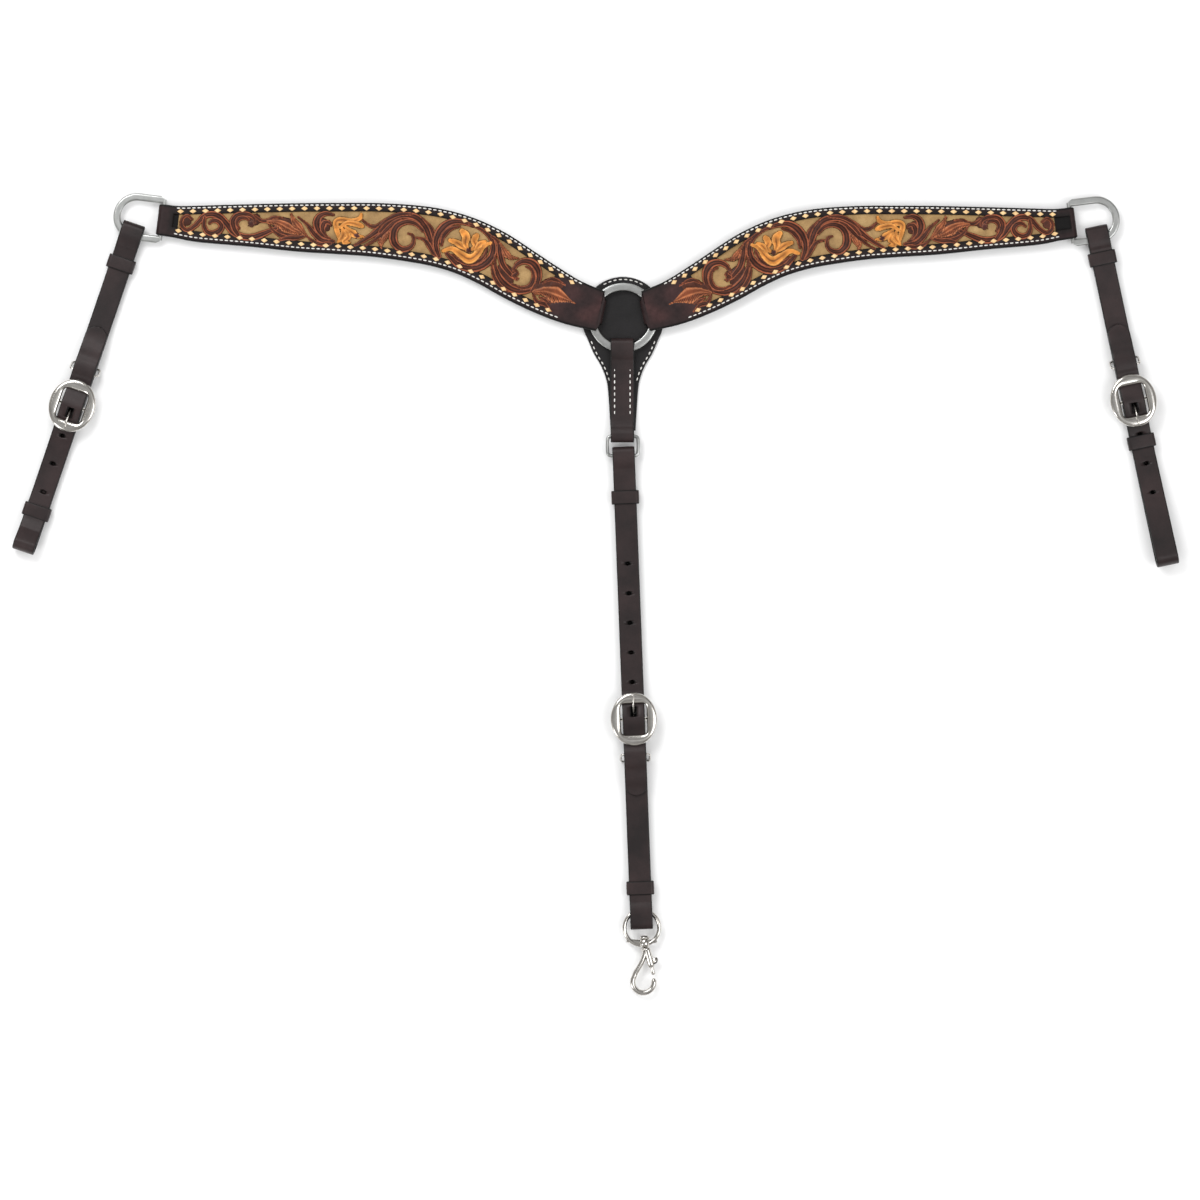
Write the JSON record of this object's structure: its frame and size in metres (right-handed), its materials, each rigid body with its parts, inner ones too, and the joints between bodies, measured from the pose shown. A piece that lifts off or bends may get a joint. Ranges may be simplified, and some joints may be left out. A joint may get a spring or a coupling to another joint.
{
  "type": "western breast collar",
  "caption": "Western breast collar: two carved, inlaid yokes on a centre ring, buckled tugs on dees, and a buckled tie-down strap ending in a swivel bolt snap.",
  "frame": {"origin": "back face of the ring safe, under the middle of the centre ring, on the surface that the collar lies on", "axes": "+X towards the right yoke's end, +Y up the page towards the yokes' top edge with the tie-down hanging along -Y, +Z out of the carved face"},
  "size_m": [0.9917, 0.6822, 0.0197],
  "materials": {
    "dark_leather": "dark chocolate harness leather with burnished near-black edges",
    "black_leather": "black smooth leather backing",
    "tooled_leather": "carved and antiqued red-brown leather with dark border",
    "suede_inlay": "gold-tan suede inlay with short nap",
    "white_thread": "waxed white harness thread",
    "pale_lace": "pale natural rawhide buckstitch lace",
    "satin_steel": "satin stainless steel",
    "bright_steel": "bright polished stainless steel",
    "spring_steel": "plain drawn spring wire"
  },
  "bodies": {
    "centre": {"ring_safe": "black_leather", "safe_stitching": "white_thread", "drop_strap": "dark_leather", "drop_stitching": "white_thread"},
    "centre_ring": {"centre_ring": "satin_steel"},
    "drop_ring": {"drop_ring": "satin_steel"},
    "left_yoke": {"left_yoke_backing": "dark_leather", "left_yoke_inlay": "suede_inlay", "left_yoke_front": "tooled_leather", "left_edge_stitching": "white_thread", "left_buckstitch": "pale_lace"},
    "right_yoke": {"right_yoke_backing": "dark_leather", "right_yoke_inlay": "suede_inlay", "right_yoke_front": "tooled_leather", "right_edge_stitching": "white_thread", "right_buckstitch": "pale_lace"},
    "left_dee": {"left_dee": "satin_steel"},
    "right_dee": {"right_dee": "satin_steel"},
    "left_tug": {"left_tug_strap": "dark_leather", "left_buckle_frame": "bright_steel", "left_wire_keeper": "bright_steel"},
    "right_tug": {"right_tug_strap": "dark_leather", "right_buckle_frame": "bright_steel", "right_wire_keeper": "bright_steel"},
    "left_tongue": {"left_buckle_tongue": "bright_steel"},
    "right_tongue": {"right_buckle_tongue": "bright_steel"},
    "left_upper_keeper": {"left_upper_keeper": "dark_leather"},
    "left_lower_keeper": {"left_lower_keeper": "dark_leather"},
    "right_upper_keeper": {"right_upper_keeper": "dark_leather"},
    "right_lower_keeper": {"right_lower_keeper": "dark_leather"},
    "tie_down": {"tie_down_strap": "dark_leather", "tie_buckle_frame": "bright_steel", "tie_wire_keeper": "bright_steel"},
    "tie_tongue": {"tie_buckle_tongue": "bright_steel"},
    "tie_upper_keeper": {"tie_upper_keeper": "dark_leather"},
    "tie_lower_keeper": {"tie_lower_keeper": "dark_leather"},
    "snap_eye": {"snap_eye": "bright_steel"},
    "snap_hook": {"snap_hook": "bright_steel", "snap_swivel_stud": "bright_steel", "snap_spring": "spring_steel"},
    "snap_bolt": {"snap_bolt": "bright_steel"}
  },
  "joints": [
    {"name": "centre_ring_turn", "type": "hinge", "parent": "centre", "child": "centre_ring", "pos_m": [0, 0, 0.0067], "axis": [0, 0, 1], "continuous": true},
    {"name": "left_yoke_swing", "type": "hinge", "parent": "centre", "child": "left_yoke", "pos_m": [0, 0, 0.0067], "axis": [0, 0, 1], "range_deg": [-12, 16]},
    {"name": "right_yoke_swing", "type": "hinge", "parent": "centre", "child": "right_yoke", "pos_m": [0, 0, 0.0067], "axis": [0, 0, 1], "range_deg": [-16, 12]},
    {"name": "left_dee_fold", "type": "hinge", "parent": "left_yoke", "child": "left_dee", "pos_m": [-0.39183, 0.08311, 0.0067], "axis": [0.1219, 0.9925, 0], "range_deg": [-80, 80]},
    {"name": "right_dee_fold", "type": "hinge", "parent": "right_yoke", "child": "right_dee", "pos_m": [0.38083, 0.08051, 0.0067], "axis": [0.1219, -0.9925, 0], "range_deg": [-80, 80]},
    {"name": "left_tug_swing", "type": "hinge", "parent": "left_dee", "child": "left_tug", "pos_m": [-0.41327, 0.08575, 0.0067], "axis": [0, 0, 1], "range_deg": [-25, 18]},
    {"name": "right_tug_swing", "type": "hinge", "parent": "right_dee", "child": "right_tug", "pos_m": [0.40227, 0.08314, 0.0067], "axis": [0, 0, 1], "range_deg": [-10, 25]},
    {"name": "left_tongue_lift", "type": "hinge", "parent": "left_tug", "child": "left_tongue", "pos_m": [-0.46796, -0.0749, 0.00905], "axis": [-0.9466, 0.3223, 0], "range_deg": [0, 8]},
    {"name": "right_tongue_lift", "type": "hinge", "parent": "right_tug", "child": "right_tongue", "pos_m": [0.4334, -0.07054, 0.00905], "axis": [-0.9781, -0.2079, 0], "range_deg": [0, 8]},
    {"name": "drop_ring_fold", "type": "hinge", "parent": "centre", "child": "drop_ring", "pos_m": [-0.0002, -0.1008, 0.0067], "axis": [-1, 0, 0], "range_deg": [-45, 60]},
    {"name": "tie_down_fold", "type": "hinge", "parent": "drop_ring", "child": "tie_down", "pos_m": [-0.0002, -0.1174, 0.0067], "axis": [-1, 0, 0], "range_deg": [-45, 60]},
    {"name": "tie_tongue_lift", "type": "hinge", "parent": "tie_down", "child": "tie_tongue", "pos_m": [0.0091, -0.34113, 0.00905], "axis": [0.9993, 0.0384, 0], "range_deg": [0, 8]},
    {"name": "left_upper_keeper_slide", "type": "slide", "parent": "left_tug", "child": "left_upper_keeper", "axis": [-0.3223, -0.9466, 0], "range_m": [-0.002, 0.045]},
    {"name": "left_lower_keeper_slide", "type": "slide", "parent": "left_tug", "child": "left_lower_keeper", "axis": [-0.3223, -0.9466, 0], "range_m": [-0.05, 0.002]},
    {"name": "right_upper_keeper_slide", "type": "slide", "parent": "right_tug", "child": "right_upper_keeper", "axis": [0.2079, -0.9781, 0], "range_m": [0, 0.045]},
    {"name": "right_lower_keeper_slide", "type": "slide", "parent": "right_tug", "child": "right_lower_keeper", "axis": [0.2079, -0.9781, 0], "range_m": [-0.002, 0.004]},
    {"name": "tie_upper_keeper_slide", "type": "slide", "parent": "tie_down", "child": "tie_upper_keeper", "axis": [-0.0384, 0.9993, 0], "range_m": [-0.14, 0.014]},
    {"name": "tie_lower_keeper_slide", "type": "slide", "parent": "tie_down", "child": "tie_lower_keeper", "axis": [-0.0384, 0.9993, 0], "range_m": [-0.003, 0.07]},
    {"name": "snap_eye_swing", "type": "hinge", "parent": "tie_down", "child": "snap_eye", "pos_m": [0.01592, -0.5186, 0.0067], "axis": [0, 0, 1], "range_deg": [-12, 12]},
    {"name": "snap_swivel", "type": "hinge", "parent": "snap_eye", "child": "snap_hook", "pos_m": [0.01832, -0.5386, 0.0067], "axis": [0, -1, 0], "continuous": true},
    {"name": "snap_bolt_slide", "type": "slide", "parent": "snap_hook", "child": "snap_bolt", "axis": [-0.2554, 0.9668, 0], "range_m": [0, 0.0055], "stiffness_N_per_m": 300, "springref_m": -0.004, "deforming": ["snap_spring"]}
  ]
}
